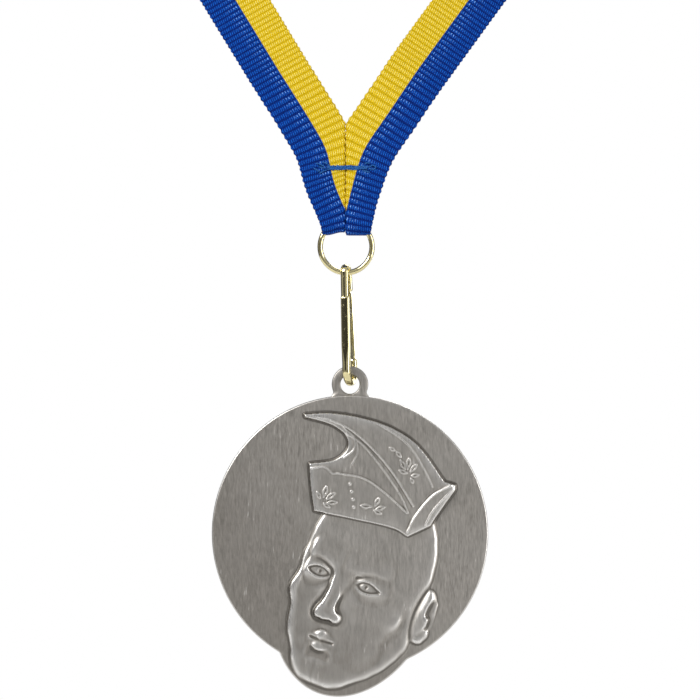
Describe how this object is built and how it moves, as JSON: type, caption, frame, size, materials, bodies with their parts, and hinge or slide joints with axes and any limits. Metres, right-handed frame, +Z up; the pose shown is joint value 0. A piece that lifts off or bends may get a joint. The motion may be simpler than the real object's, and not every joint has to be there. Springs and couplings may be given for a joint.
{
  "type": "medal",
  "caption": "Round struck medal with a raised capped head, hung by a carabiner clip and wire ring on a two-colour woven neck ribbon.",
  "frame": {"origin": "nape point of the neck ribbon, where the wearer's neck carries the loop", "axes": "+Z up as it hangs; the medal's face looks along -Y and its flat back along +Y; +X to the right of the face"},
  "size_m": [0.176, 0.2176, 0.2954],
  "materials": {
    "ribbon_weave": "ribbed woven polyester, outer half royal blue, inner half yellow",
    "sewing_thread": "twisted polyester thread, blue",
    "gold_plate": "pale gold plating, polished",
    "spring_wire": "bright spring wire",
    "antique_silver": "antique silver plating, vertically brushed, polished on the raised edges"
  },
  "bodies": {
    "neck_ribbon": {"ribbon": "ribbon_weave", "ribbon_stitching": "sewing_thread"},
    "ring": {"suspension_ring": "gold_plate"},
    "clip": {"clip_body": "gold_plate"},
    "gate": {"clip_gate": "gold_plate", "gate_rivet": "gold_plate", "gate_spring": "spring_wire"},
    "medal_disc": {"medal": "antique_silver"}
  },
  "joints": [
    {"name": "ring_swing", "type": "hinge", "parent": "neck_ribbon", "child": "ring", "pos_m": [-0.00707, -0.21257, -0.20516], "axis": [1, 0, 0], "range_deg": [-18, 18]},
    {"name": "clip_slide_round_ring", "type": "hinge", "parent": "ring", "child": "clip", "pos_m": [-0.00707, -0.21257, -0.20866], "axis": [0, 1, 0], "range_deg": [-40, 40]},
    {"name": "gate_open", "type": "hinge", "parent": "clip", "child": "gate", "pos_m": [-0.00651, -0.21119, -0.21746], "axis": [-0.9605, 0.2756, -0.0385], "range_deg": [0, 15], "stiffness_Nm_per_rad": 0.002, "springref_deg": -11.46},
    {"name": "medal_swing", "type": "hinge", "parent": "clip", "child": "medal_disc", "pos_m": [-0.00637, -0.21257, -0.23087], "axis": [1, 0, 0], "range_deg": [-80, 80]}
  ]
}
